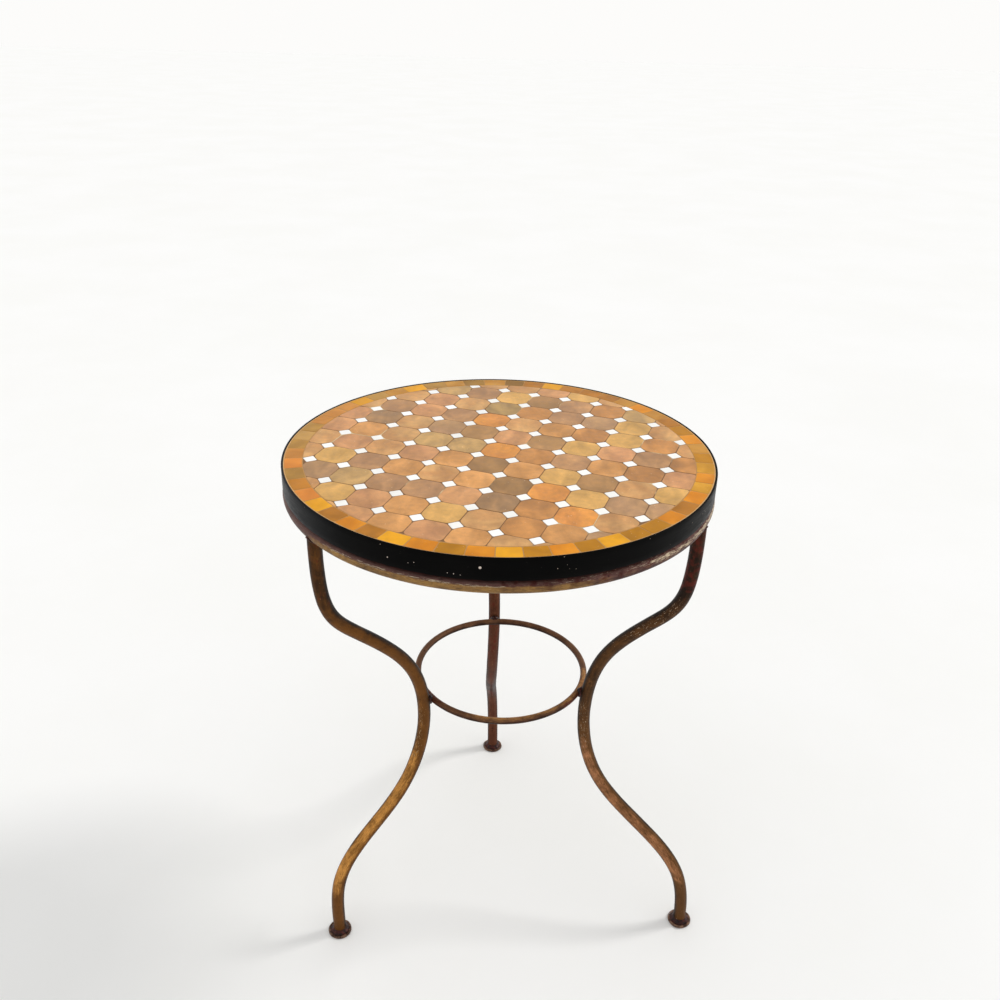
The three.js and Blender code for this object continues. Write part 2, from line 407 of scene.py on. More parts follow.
def grout(field_radius, border_radius):
    """Tinted cement: brown with pale patches in the field, tan at the border, paler at the hoop."""
    g = Graph("grout_joints")
    place = g.position()
    patch = g.noise(place, 12, 3.0, 0.6)
    grit = g.noise(place, 700, 4.0, 0.7)
    from_middle = g.vector_math("SUBTRACT", place, TOP_MIDDLE)
    radial = g.vector_math("LENGTH", g.stretched(from_middle, (1.0, 1.0, 0.0)), output="Value")
    colour = g.blend(g.remap(patch, 0.55, 0.66), linear(0x7C5A38), linear(0xDCC49A))
    near_border = g.remap(radial, field_radius - 1 * MM, field_radius)
    colour = g.blend(near_border, colour, linear(0xB98A50))
    near_hoop = g.remap(radial, border_radius - 1.4 * MM, border_radius - 0.8 * MM)
    colour = g.blend(near_hoop, colour, linear(0xDCAE72))
    colour = g.shade(colour, grit, 0.8, 1.2)
    g.set(Base_Color=colour, Roughness=0.92, Normal=g.bump(grit, 0.3 * MM, 0.6))
    return g.material


def hoop_paint():
    """Satin black paint on flat iron: brush marks, chips, a painted grey sheen at the left end, and a
    rusty lower edge.
    """
    g = Graph("hoop_black_paint")
    place = g.position()
    streak = g.noise(g.stretched(place, (1.0, 1.0, 9.0)), 60, 5.0, 0.65)
    haze = g.noise(place, 9, 3.0, 0.6)
    colour = g.blend(g.remap(haze, 0.35, 0.75), linear(0x040404), linear(0x0A0908))
    # Painted sheen: the hoop's left end is painted grey.
    left_end_sheen = g.remap(g.part(place, 0), -0.19, -0.31)
    colour = g.blend(g.math("MULTIPLY", left_end_sheen, haze), colour, linear(0x34363A))
    colour = g.shade(colour, streak, 0.7, 1.4)
    uneven = g.math("MULTIPLY", g.noise(place, 120, 3.0), 2.2 * MM)
    level = g.math("SUBTRACT", g.part(place, 2), uneven)
    low_edge = g.remap(level, HOOP_LOW.z + 0.6 * MM, HOOP_LOW.z - 0.8 * MM)
    colour = g.blend(low_edge, colour, linear(0x34130E))
    speck_gate = g.remap(g.noise(place, 17, 2.0), 0.56, 0.62)
    speck = g.math("MULTIPLY", g.remap(g.cells(place, 170), 0.1, 0.055), speck_gate)
    colour = g.blend(speck, colour, linear(0xC9B8A6))
    ragged = g.math("MULTIPLY", g.noise(place, 900, 2.0), 1.6 * MM)
    for azimuth, height, size in HOOP_CHIPS:
        spot = polar(HOOP_RADIUS, math.radians(azimuth), HOOP_LOW.z + height * MM) + TOP_MIDDLE
        away = g.vector_math("DISTANCE", place, spot, output="Value")
        chip = g.remap(g.math("ADD", away, ragged), size + 1.1 * MM, size + 0.5 * MM)
        colour = g.blend(chip, colour, linear(0xD8C9BC))
    scuff = g.noise(g.stretched(place, (1.0, 1.0, 3.0)), 260, 3.0, 0.7)
    colour = g.blend(g.remap(scuff, 0.72, 0.78, 0.0, 0.5), colour, linear(0x6B6560))
    rough = g.remap(streak, 0.3, 0.7, 0.3, 0.46)
    relief = g.bump(g.noise(place, 26, 2.0), 1.2 * MM, 0.35)
    relief = g.bump(streak, 0.12 * MM, 0.4, relief)
    g.set(Base_Color=colour, Roughness=rough, Normal=relief, Specular_IOR_Level=0.03)
    return g.material


def patina(name, dark, brown, gold_and_highlight, red, flake_and_glint):
    """Rubbed bronze-brown paint on iron. The bars say where it is lighter, gold, red or flaked,
    which is real wear, rub and flakes together with painted shade, highlights and glints.
    """
    g = Graph(name)
    place = g.position()
    grain = g.attribute("grain", "Vector")
    streak = g.noise(grain, 260, 4.0, 0.6)
    hair = g.noise(grain, 1300, 3.0, 0.6)
    patch = g.noise(place, 42, 3.0, 0.6, 0.5)
    fine = g.noise(place, 640, 4.0, 0.65)
    uneven = g.math("SUBTRACT", g.math("ADD", patch, streak), 1.0)
    # Lighter brown: real wear, with painted sheen and painted shade from the bar's values.
    wear_and_sheen = g.math("ADD", g.attribute("wear_and_sheen"), g.math("MULTIPLY", uneven, 0.7))
    colour = g.blend(g.remap(wear_and_sheen, 0.05, 0.95), linear(dark), linear(brown))
    ruddy = g.math("ADD", g.attribute("red"), g.math("SUBTRACT", g.noise(place, 110, 3.0), 0.5))
    colour = g.blend(g.remap(ruddy, 0.3, 0.62), colour, linear(red))
    # Gold: real rub and painted highlights.
    rub_and_highlight = g.math("ADD", g.attribute("gold_and_highlight"), g.math("MULTIPLY", uneven, 0.8))
    rub_and_highlight = g.math("ADD", rub_and_highlight, g.math("MULTIPLY", g.math("SUBTRACT", hair, 0.5), 0.9))
    colour = g.blend(g.remap(rub_and_highlight, 0.3, 1.1), colour, linear(gold_and_highlight))
    colour = g.shade(colour, patch, 0.75, 1.25)
    colour = g.shade(colour, hair, 0.8, 1.2)
    colour = g.shade(colour, fine, 0.78, 1.22)
    scrape = g.noise(g.stretched(grain, (1.0, 1.0, 2.0)), 900, 4.0, 0.65)
    # Pale flakes, and painted glints.
    flakes_and_glints = g.math("ADD", g.math("MULTIPLY", g.attribute("flake_and_glint"), 0.3), scrape)
    flake_and_glint_mask = g.remap(flakes_and_glints, 0.7, 0.8)
    colour = g.blend(flake_and_glint_mask, colour, linear(flake_and_glint))
    soot = g.remap(g.noise(place, 150, 4.0, 0.7), 0.6, 0.72, 0.0, 0.6)
    colour = g.blend(soot, colour, linear(0x170D08))
    rough = g.remap(fine, 0.3, 0.7, 0.36, 0.54)
    relief = g.bump(patch, 0.8 * MM, 0.4)
    relief = g.bump(g.math("SUBTRACT", fine, flake_and_glint_mask), 0.22 * MM, 0.6, relief)
    g.set(
        Base_Color=colour,
        Roughness=rough,
        Metallic=0.15,
        Specular_IOR_Level=0.1,
        Normal=relief,
    )
    return g.material


def weld_skin(name, dark, lit):
    """Paint pooled thick and glossy over rough weld metal."""
    g = Graph(name)
    place = g.position()
    pool = g.noise(place, 170, 4.0, 0.6)
    fine = g.noise(place, 900, 3.0)
    colour = g.blend(g.remap(pool, 0.4, 0.66), linear(dark), linear(lit))
    colour = g.shade(colour, fine, 0.75, 1.25)
    relief = g.bump(pool, 0.7 * MM, 0.6)
    g.set(
        Base_Color=colour,
        Roughness=g.remap(pool, 0.3, 0.7, 0.24, 0.44),
        Metallic=0.15,
        Specular_IOR_Level=0.3,
        Normal=relief,
    )
    return g.material


def cast_cement():
    """The rough underside of the cast slab, with sand, air holes and damp stains."""
    g = Graph("cast_cement")
    place = g.position()
    stain = g.noise(place, 7, 5.0, 0.6, 0.8)
    sand = g.noise(place, 420, 6.0, 0.75)
    hole = g.remap(g.cells(place, 95), 0.14, 0.06)
    colour = g.blend(g.remap(stain, 0.35, 0.7), linear(0xA79B86), linear(0x857A68))
    colour = g.shade(colour, sand, 0.7, 1.25)
    colour = g.blend(hole, colour, linear(0x4F463A))
    relief = g.bump(g.math("SUBTRACT", sand, hole), 0.9 * MM, 0.7)
    g.set(Base_Color=colour, Roughness=0.94, Normal=relief)
    return g.material


def bare_iron():
    g = Graph("bare_iron_rod")
    place = g.position()
    rust = g.noise(place, 90, 5.0, 0.7)
    colour = g.blend(g.remap(rust, 0.4, 0.62), linear(0x3B3430), linear(0x7A4526))
    g.set(
        Base_Color=g.shade(colour, g.noise(place, 800, 3.0), 0.7, 1.25),
        Roughness=g.remap(rust, 0.3, 0.7, 0.55, 0.85),
        Metallic=0.6,
        Normal=g.bump(rust, 0.3 * MM, 0.6),
    )
    return g.material


def studio_floor():
    g = Graph("pale_floor")
    place = g.position()
    cloud = g.noise(place, 1.6, 5.0, 0.6)
    colour = g.blend(g.remap(cloud, 0.3, 0.7), linear(0xF5F5F3), linear(0xF7F7F6))
    g.set(Base_Color=colour, Roughness=0.85, Specular_IOR_Level=0.1)
    return g.material


# ---- The mosaic ----


def sides_of(outline):
    return zip(outline, outline[1:] + outline[:1])


def polygon_area(outline):
    return 0.5 * sum(a.x * b.y - b.x * a.y for a, b in sides_of(outline))


def polygon_centre(outline):
    area = polygon_area(outline)
    total = Vector((0.0, 0.0))
    for a, b in sides_of(outline):
        total += (a + b) * (a.x * b.y - b.x * a.y)
    return total / (6 * area)


def clipped(outline, side_point, inward):
    """The part of a convex outline on the inward side of a line."""
    kept = []
    for a, b in sides_of(outline):
        da = (a - side_point).dot(inward)
        db = (b - side_point).dot(inward)
        if da >= 0:
            kept.append(a)
        if (da >= 0) != (db >= 0):
            kept.append(a + (b - a) * (da / (da - db)))
    return kept


def inside_circle(outline, radius):
    """A convex outline cut by a circle round the top's middle."""
    cuts = 180
    for i in range(cuts):
        if not outline:
            break
        edge = polar(radius, 2 * math.pi * i / cuts).to_2d()
        if max(p.dot(edge) for p in outline) > radius * radius:
            outline = clipped(outline, edge, -edge)
    return outline


def cut_by_hand(outline, seed, step=2.6 * MM, rounding=2, shake=0.16 * MM):
    """The outline with close points, its corners softened and its sides a little uneven."""
    points = []
    for a, b in sides_of(outline):
        count = max(1, round((b - a).length / step))
        points += [a.lerp(b, i / count) for i in range(count)]
    for _ in range(rounding):
        points = [
            points[i] * 0.5 + (points[i - 1] + points[(i + 1) % len(points)]) * 0.25
            for i in range(len(points))
        ]
    centre = polygon_centre(points)
    uneven = []
    for p in points:
        push = shake * wobble((p.x, p.y, 0), 120, seed)
        uneven.append(p + (p - centre).normalized() * push)
    return uneven


def drawn_in(outline, centre, distance):
    """The outline moved towards its centre by a distance."""
    ring = []
    for p in outline:
        arm = p - centre
        ring.append(centre + arm * max(0.05, 1 - distance / max(arm.length, 0.1 * MM)))
    return ring


# Rings of a tile from its back to the middle of its face: millimetres in from the outline,
# millimetres below the face, and how much of the rim's darkening and chips a ring takes.
TILE_RINGS = (
    (0.9, TILE_THICKNESS / MM, 1.0),
    (0.2, 5.0, 1.0),
    (0.0, 0.9, 1.0),
    (0.04, 0.28, 1.0),
    (0.18, 0.09, 0.9),
    (0.5, 0.03, 0.6),
    (1.5, 0.01, 0.2),
    (4.0, 0.0, 0.0),
)


def glaze_colours(tones, warmth=(1.0, 1.0, 1.0), evenness=0.0):
    """The tones as linear colours, evened out towards the plain tan and warmed."""
    plain = linear(PLAIN_TAN)
    return [
        [(c + (p - c) * evenness) * factor for c, p, factor in zip(linear(tone), plain, warmth)]
        for tone in tones
    ]


def add_tile(name, outline, top, colours, material, node, seed):
    """One tile: a tapered back, an eased edge and a face that is neither level nor quite flat."""
    dice = random.Random(seed)
    centre = polygon_centre(outline)
    reach = min((p - centre).length for p in outline)
    tilt = Vector((dice.uniform(-1, 1), dice.uniform(-1, 1))) * 0.006
    face = top - dice.uniform(0.0, 0.22) * MM - 0.1 * MM
    points = []
    rims = []
    for ring, (inward, below, rim) in enumerate(TILE_RINGS):
        distance = min(inward * MM, 0.5 * reach)
        for p in drawn_in(outline, centre, distance):
            lift = tilt.dot(p - centre) if below < 2 else 0.0
            swell = 0.07 * MM * wobble((p.x, p.y, 0), 70, seed) if rim < 0.9 else 0.0
            height = face - below * MM + lift + swell
            points.append(Vector((p.x, p.y, max(top - TILE_THICKNESS, min(top, height)))))
            rims.append(rim)
    count = len(outline)
    last = len(points) - count
    points.append(Vector((centre.x, centre.y, face)))
    rims.append(0.0)
    faces = [tuple(reversed(range(count)))]
    for ring in range(len(TILE_RINGS) - 1):
        low = ring * count
        for i in range(count):
            j = (i + 1) % count
            faces.append((low + i, low + j, low + count + j, low + count + i))
    faces += [(last + i, last + (i + 1) % count, len(points) - 1) for i in range(count)]
    points = [p + TOP_MIDDLE for p in points]
    tile = add_piece(name, points, faces, "top", material, node)
    set_values(tile, "rim", rims)
    set_values(tile, "seed", [seed * 0.173] * len(points))
    value = dice.uniform(0.94, 1.06)
    for attribute, colour in zip(("tint", "smudge"), colours):
        set_colour(tile, attribute, (*(c * value for c in colour), 1.0))


def lattice_axes():
    u = polar(1, LATTICE_TURN).to_2d()
    return u, Vector((-u.y, u.x))


def octagon(centre):
    """The square of a lattice cell with its corners cut back from the small squares."""
    u, v = lattice_axes()
    half = (TILE_PITCH - JOINT) / 2
    corner_cut = SQUARE_SIDE / 2 + JOINT
    outline = [centre + u * (x * half) + v * (y * half) for x, y in CORNERS]
    for x, y in CORNERS:
        crossing = centre + (u * x + v * y) * (TILE_PITCH / 2)
        inward = (centre - crossing).normalized()
        outline = clipped(outline, crossing + inward * corner_cut, inward)
    return outline


def small_square(centre, turn):
    half = SQUARE_SIDE / math.sqrt(2)
    return [centre + polar(half, LATTICE_TURN + turn + i * math.pi / 2).to_2d() for i in range(4)]


def lay_field(radius, top):
    """The octagons and squares that fall inside the border, and their outlines."""
    tan = glaze("tan_tile_glaze", 0.42, 0.2, 0.16, 0.9)
    white = glaze("white_tile_glaze", 0.35, 0.3, 0.2, 0.2)
    u, v = lattice_axes()
    outlines = []
    dice = random.Random(7)
    for i in range(-LATTICE_REACH, LATTICE_REACH + 1):
        for j in range(-LATTICE_REACH, LATTICE_REACH + 1):
            stray = Vector((dice.uniform(-1, 1), dice.uniform(-1, 1))) * LATTICE_STRAY
            turn = dice.uniform(-SQUARE_TURN, SQUARE_TURN)
            seed = (i + LATTICE_REACH) * 40 + j + LATTICE_REACH + 1
            centre = LATTICE_CENTRE + (u * i + v * j) * TILE_PITCH + stray
            outline = inside_circle(octagon(centre), radius)
            if len(outline) > 2 and polygon_area(outline) > FIELD_SMALLEST:
                outline = cut_by_hand(outline, seed)
                row = FIELD_ROWS[LATTICE_REACH - j]
                tone = row[min(len(row) - 1, max(0, i + len(row) // 2))]
                name = f"octagon_tile_{i + LATTICE_REACH:02d}_{j + LATTICE_REACH:02d}"
                colours = glaze_colours(FIELD_TONES[tone], FIELD_WARMTH, EVENNESS)
                add_tile(name, outline, top, colours, tan, "mosaic_field", seed)
                outlines.append(outline)
            crossing = centre + (u + v) * (TILE_PITCH / 2)
            outline = inside_circle(small_square(crossing, turn), radius)
            if len(outline) > 2 and polygon_area(outline) > SQUARE_SMALLEST:
                seed += SQUARE_SEED
                outline = cut_by_hand(outline, seed, 1.9 * MM, 1, 0.1 * MM)
                name = f"square_tile_{i + LATTICE_REACH:02d}_{j + LATTICE_REACH:02d}"
                colours = glaze_colours(WHITE_TONES)
                add_tile(name, outline, top, colours, white, "mosaic_field", seed)
                outlines.append(outline)
    return outlines


def lay_border(inner, outer, top):
    """The ring of near-square tiles along the hoop."""
    amber = glaze("amber_tile_glaze", 0.34, 0.08, 0.15, 0.35)
    dice = random.Random(11)
    widths = [1 + dice.uniform(-1, 1) * BORDER_WIDTH_VARIATION for _ in range(BORDER_COUNT)]
    scale = 2 * math.pi / sum(widths)
    start = BORDER_START
    outlines = []
    for i, width in enumerate(widths):
        end = start + width * scale
        gap = JOINT / 2 / inner
        low, high = start + gap, end - gap
        skew = dice.uniform(-1, 1) * BORDER_SKEW / inner
        arc = [low + (high - low) * k / 4 for k in range(5)]
        outline = [polar(outer, a + skew).to_2d() for a in arc]
        outline += [polar(inner, a - skew).to_2d() for a in reversed(arc)]
        seed = i + BORDER_SEED
        outline = cut_by_hand(outline, seed, rounding=1, shake=0.14 * MM)
        colours = glaze_colours(BORDER_TONES[BORDER_ROW[i]], BORDER_WARMTH)
        name = f"border_tile_{i + 1:02d}"
        add_tile(name, outline, top, colours, amber, "border_mosaic", seed)
        outlines.append(outline)
        start = end
    return outlines


def prism(outline, bottom, top):
    count = len(outline)
    points = [(p.x, p.y, z) for z in (bottom, top) for p in outline]
    faces = [tuple(reversed(range(count))), tuple(range(count, 2 * count))]
    faces += [(i, (i + 1) % count, count + (i + 1) % count, count + i) for i in range(count)]
    return points, faces


def lay_grout(outlines, material, radius, bottom, tile_bottom, top):
    """A bed under the tiles with a wall in every joint: a disc with the tiles pressed out of it."""
    rim = [polar(radius, 2 * math.pi * i / 240).to_2d() for i in range(240)]
    points, faces = prism(rim, bottom, top)
    points = [Vector(p) + TOP_MIDDLE for p in points]
    bed = add_piece("grout", points, faces, "top", material, "grout_bed", 30)
    points, faces = [], []
    for outline in outlines:
        pressed = drawn_in(outline, polygon_centre(outline), 0.12 * MM)
        more_points, more_faces = prism(pressed, tile_bottom, top + 5 * MM)
        faces += [tuple(len(points) + k for k in face) for face in more_faces]
        points += more_points
    points = [Vector(p) + TOP_MIDDLE for p in points]
    mesh = bpy.data.meshes.new("tile_beds")
    mesh.from_pydata(points, [], faces)
    cutter = bpy.data.objects.new("tile_beds", mesh)
    bpy.context.scene.collection.objects.link(cutter)
    cut = bed.modifiers.new("press", "BOOLEAN")
    cut.operation = "DIFFERENCE"
    cut.solver = "MANIFOLD"
    cut.object = cutter
    bpy.context.view_layer.update()
    evaluated = bed.evaluated_get(bpy.context.evaluated_depsgraph_get())
    pressed_mesh = bpy.data.meshes.new_from_object(evaluated)
    bed.modifiers.clear()
    bed.data = pressed_mesh
    bpy.data.objects.remove(cutter)


# ---- The iron ----


def swept(name, path, side_axis, radius_at, sides, closed, material, node, zones=None):
    """A round bar of the base along a path. zones gives each point's wear and sheen, gold and
    highlight, red, and flakes and glints: real marks together with painted light.
    """
    points = []
    grain = []
    normals = []
    travelled = 0.0
    count = len(path)
    for i, p in enumerate(path):
        ahead = path[(i + 1) % count] if closed or i + 1 < count else p
        behind = path[i - 1] if closed or i > 0 else p
        tangent = (ahead - behind).normalized()
        out = side_axis.cross(tangent).normalized()
        across = tangent.cross(out)
        if i:
            travelled += (p - path[i - 1]).length
        for k in range(sides):
            angle = 2 * math.pi * k / sides
            direction = out * math.cos(angle) + across * math.sin(angle)
            radius = radius_at(i / count, angle, p)
            point = p + direction * radius
            points.append(point)
            normals.append(direction)
            if closed:
                grain.append(Vector((p.x * 0.12, p.y * 0.12, radius * angle)))
            else:
                grain.append(polar(radius, angle, travelled * 0.12))
    faces = []
    for i in range(count if closed else count - 1):
        j = (i + 1) % count
        for k in range(sides):
            m = (k + 1) % sides
            faces.append((i * sides + k, i * sides + m, j * sides + m, j * sides + k))
    if not closed:
        faces.append(tuple(reversed(range(sides))))
        faces.append(tuple(range((count - 1) * sides, count * sides)))
    piece = add_piece(name, points, faces, "base", material, node, 40)
    if zones:
        set_vectors(piece, "grain", grain)
        values = [zones(p, n) for p, n in zip(points, normals)]
        for index, attribute in enumerate(("wear_and_sheen", "gold_and_highlight", "red", "flake_and_glint")):
            set_values(piece, attribute, [v[index] for v in values])


def spline(points, samples, degree=3):
    """Evenly spaced points on the clamped B-spline of these control points."""
    count = len(points)
    spans = count - degree
    knots = [min(1.0, max(0.0, (i - degree) / spans)) for i in range(count + degree + 1)]

    def at(t):
        span = min(count - 1, degree + int(t * spans))
        work = [points[span - degree + i].copy() for i in range(degree + 1)]
        for r in range(1, degree + 1):
            for i in range(degree, r - 1, -1):
                low = knots[span - degree + i]
                share = (t - low) / (knots[span + 1 + i - r] - low)
                work[i] = work[i - 1].lerp(work[i], share)
        return work[degree]

    fine = [at(i / 2000) for i in range(2001)]
    lengths = [0.0]
    for a, b in zip(fine, fine[1:]):
        lengths.append(lengths[-1] + (b - a).length)
    path = []
    k = 0
    for i in range(samples):
        target = lengths[-1] * i / (samples - 1)
        while k < len(lengths) - 2 and lengths[k + 1] < target:
            k += 1
        share = (target - lengths[k]) / (lengths[k + 1] - lengths[k])
        path.append(fine[k].lerp(fine[k + 1], min(1.0, share)))
    return path


def leg_path(side):
    """The leg's centre line, from its foot up into the support ring."""
    foot = box_centre(f"foot_{side}") - TOP_MIDDLE
    head = box_centre(f"weld_ring_{side}") - TOP_MIDDLE
    foot_azimuth = math.atan2(foot.y, foot.x) % (2 * math.pi)
    head_azimuth = math.atan2(head.y, head.x) % (2 * math.pi)
    lean = foot.to_2d().length - CONTROL_POINTS[0][1] * MM
    points = []
    for z, r, waist_share in CONTROL_POINTS:
        reach = r * MM + lean * (1 - smoothstep(FOOT_UPRIGHT_HEIGHT, KNEE_HEIGHT, z * MM))
        turn = 1 - smoothstep(FOOT_UPRIGHT_HEIGHT, WAIST_HEIGHT, z * MM)
        azimuth = head_azimuth + (foot_azimuth - head_azimuth) * turn
        shift = TOP_MIDDLE + (WAIST_MIDDLE - TOP_MIDDLE) * waist_share
        points.append(polar(reach, azimuth, z * MM) + shift)
    path = spline(points, 230)
    path.insert(0, Vector((path[0].x, path[0].y, 3.5 * MM)))
    path.append(Vector((path[-1].x, path[-1].y, RING_HEIGHT)))
    return path


# Painted shade and sheen: legs are lighter brown facing front and back, dark on their flanks.
SHEEN_FACING = Vector((0.0, -0.93, 0.37))


def leg_zones(side):
    """Where a leg's paint is lighter brown, gold, reddish or flaked: real wear and rub, mixed with
    painted shade on its flanks and painted highlights where it faces the shine direction.
    """
    # shine: the direction each leg's painted highlight faces.
    shine = {
        "left": Vector((-0.45, -0.8, 0.3)).normalized(),
        "right": Vector((-0.3, -0.9, 0.25)).normalized(),
        "back": Vector((0.1, -0.9, 0.3)).normalized(),
    }[side]

    def zones(p, n):
        facing = n.dot(shine)
        lit = smoothstep(0.1, 0.95, facing)
        ridge = smoothstep(0.55, 1.0, facing)
        low_bend = window(0.12, 0.25, 0.07, p.z)
        # Painted shade and sheen: lighter where the bar faces front or back, dark on its flanks.
        facing_sheen = smoothstep(0.1, 0.85, abs(n.dot(SHEEN_FACING)))
        wear_and_sheen = (0.12 + 0.8 * facing_sheen) * (1 - 0.5 * window(0.6, 0.72, 0.05, p.z))
        if side == "right":
            wear_and_sheen *= 1 - 0.4 * window(0.38, 0.72, 0.06, p.z)
        # Gold: real rub low on the leg, partly a painted highlight where the bar faces shine.
        gold_and_highlight = low_bend * {"left": 0.15 + 0.65 * lit, "right": 0.1 + 0.6 * lit, "back": 0.1}[side]
        gold_and_highlight += 0.3 * ridge * window(0.3, 0.42, 0.05, p.z)
        red = window(0.62, 0.72, 0.04, p.z) * {"left": 0.28, "right": 0.4, "back": 0.3}[side]
        red += {"left": 0.0, "right": 0.05, "back": 0.3 * window(0.15, 0.55, 0.06, p.z)}[side]
        right_spots = window(0.52, 0.58, 0.03, p.z) + window(0.3, 0.36, 0.03, p.z)
        # Flakes: real, with painted glints where the bar faces the shine direction.
        flake_and_glint = 0.1 + {
            "left": window(0.3, 0.37, 0.03, p.z) * 0.4 * ridge,
            "right": right_spots * 0.3 * lit,
            "back": 0.05,
        }[side]
        return wear_and_sheen, gold_and_highlight, red, flake_and_glint

    return zones


def make_legs(patinas):
    for index, side in enumerate(LEG_SIDES):
        path = leg_path(side)
        head = path[-1] - TOP_MIDDLE
        across = UP.cross(Vector((head.x, head.y, 0)).normalized())

        def radius_at(share, angle, p, index=index):
            dent = 0.16 * MM * wobble((angle * 0.004, share * 0.8, 0), 38, index + 1)
            return BAR_RADIUS + dent

        swept(
            f"{side}_leg", path, across, radius_at, 28, False, patinas[side],
            f"leg_{side}", leg_zones(side),
        )


def ring_zones(p, n):
    """The support ring: a painted highlight line along its shoulder, its upper half painted lighter,
    gold below at the front left, real patina with a painted reflection of the floor, and scuffed to
    pale metal at the front right."""
    azimuth = azimuth_of(p - TOP_MIDDLE)
    outward = n.dot((p - TOP_MIDDLE).normalized()) > 0
    # Partly painted reflection: the underside, which faces the floor, turns gold.
    below = smoothstep(0.42, 0.15, n.z)
    front_left = window(226, 285, 14, azimuth)
    front_right = window(312, 345, 12, azimuth)
    # Painted highlight: a pale, gold line along the outer shoulder.
    shoulder_highlight = window(0.28, 0.48, 0.14, n.z) if outward else 0.0
    # Painted light: the upper half is lighter.
    wear_and_sheen = 0.4 + 0.4 * window(0.1, 0.65, 0.3, n.z)
    gold_and_highlight = below * (0.3 + 0.5 * front_left) + 0.3 * shoulder_highlight * front_left
    red = 0.2 + 0.2 * window(275, 330, 10, azimuth)
    # Painted highlight on the shoulder; the flakes on top at 282 to 312 degrees and at the front right
    # are real.
    flake_and_glint = 0.05 + shoulder_highlight * (0.15 + 0.5 * window(228, 268, 8, azimuth))
    flake_and_glint += 0.3 * window(282, 312, 8, azimuth) * smoothstep(0.2, 0.6, n.z)
    flake_and_glint += front_right * (0.2 + 0.4 * window(0.0, 0.45, 0.15, n.z))
    return wear_and_sheen, gold_and_highlight, red, flake_and_glint


def rod_zones(p, n):
    azimuth = azimuth_of(p - WAIST_MIDDLE)
    # Painted light: the waist ring is lighter on its upper face, and gold there at the front.
    wear_and_sheen = 0.2 + 0.7 * smoothstep(-0.2, 0.9, n.z)
    gold_and_highlight = 0.2 + 0.5 * smoothstep(0.4, 1.0, n.z) * window(260, 350, 25, azimuth)
    red = 0.15 + 0.35 * (window(200, 225, 12, azimuth) + window(320, 345, 12, azimuth))
    return wear_and_sheen, gold_and_highlight, red, 0.1


def ring_path(middle, radius, height, count):
    return [middle + polar(radius, 2 * math.pi * i / count, height) for i in range(count)]


def make_rings(ring_material, rod_material):
    def bar_at(share, angle, p):
        return BAR_RADIUS + 0.14 * MM * wobble(p, 22, 5.0)

    def rod_at(share, angle, p):
        return ROD_RADIUS - 0.05 * MM + 0.1 * MM * wobble(p, 30, 9.0)

    radius = (RING_HIGH.x - RING_LOW.x) / 2 - BAR_RADIUS
    path = ring_path(TOP_MIDDLE, radius, RING_HEIGHT, 300)
    swept(
        "top_support_ring", path, UP, bar_at, 28, True, ring_material,
        "support_ring", ring_zones,
    )
    path = ring_path(WAIST_MIDDLE, STRETCHER_RADIUS, box_centre("stretcher_ring").z, 220)
    swept(
        "waist_ring", path, UP, rod_at, 20, True, rod_material,
        "stretcher_ring", rod_zones,
    )


def turned_piece(name, centre, profile, segments, ripple, body, material, node):
    """A closed profile of (radius, height) turned round an upright axis, with a rippled skin."""
    points = []
    for i in range(segments):
        angle = 2 * math.pi * i / segments
        for radius, height in profile:
            base = centre + polar(radius, angle, height)
            points.append(base + polar(1, angle) * ripple(angle, radius, height))
    count = len(profile)
    faces = []
    for i in range(segments):
        j = (i + 1) % segments
        for k in range(count):
            m = (k + 1) % count
            faces.append((i * count + k, j * count + k, j * count + m, i * count + m))
    add_piece(name, points, faces, body, material, node, 45)


def make_hoop(material):
    """Flat iron rolled into a hoop, its edges eased, with the ridge of its weld at the back."""
    low, high = HOOP_LOW.z, HOOP_HIGH.z
    outer = HOOP_RADIUS
    inner = outer - HOOP_THICKNESS
    ease = 0.7 * MM
    profile = [
        (inner, low),
        (outer - ease, low),
        (outer - 0.2 * MM, low + 0.25 * MM),
        (outer, low + ease),
        (outer, low + 8 * MM),
        (outer, low + 16 * MM),
        (outer, high - 8 * MM),
        (outer, high - ease),
        (outer - 0.2 * MM, high - 0.25 * MM),
        (outer - ease, high),
        (inner + 0.4 * MM, high),
        (inner, high - 0.4 * MM),
    ]
    seam = math.radians(68)

    def ripple(angle, radius, height):
        dent = 0.16 * MM * wobble(polar(radius, angle, height), 16, 3.0)
        ridge = math.exp(-(((angle - seam) * radius / (2.5 * MM)) ** 2)) * 0.5 * MM
        return (dent + ridge - 0.2 * MM) if radius > inner + 1 * MM else 0.0

    turned_piece(
        "black_hoop", TOP_MIDDLE, profile, 420, ripple, "top", material, "rim_band"
    )


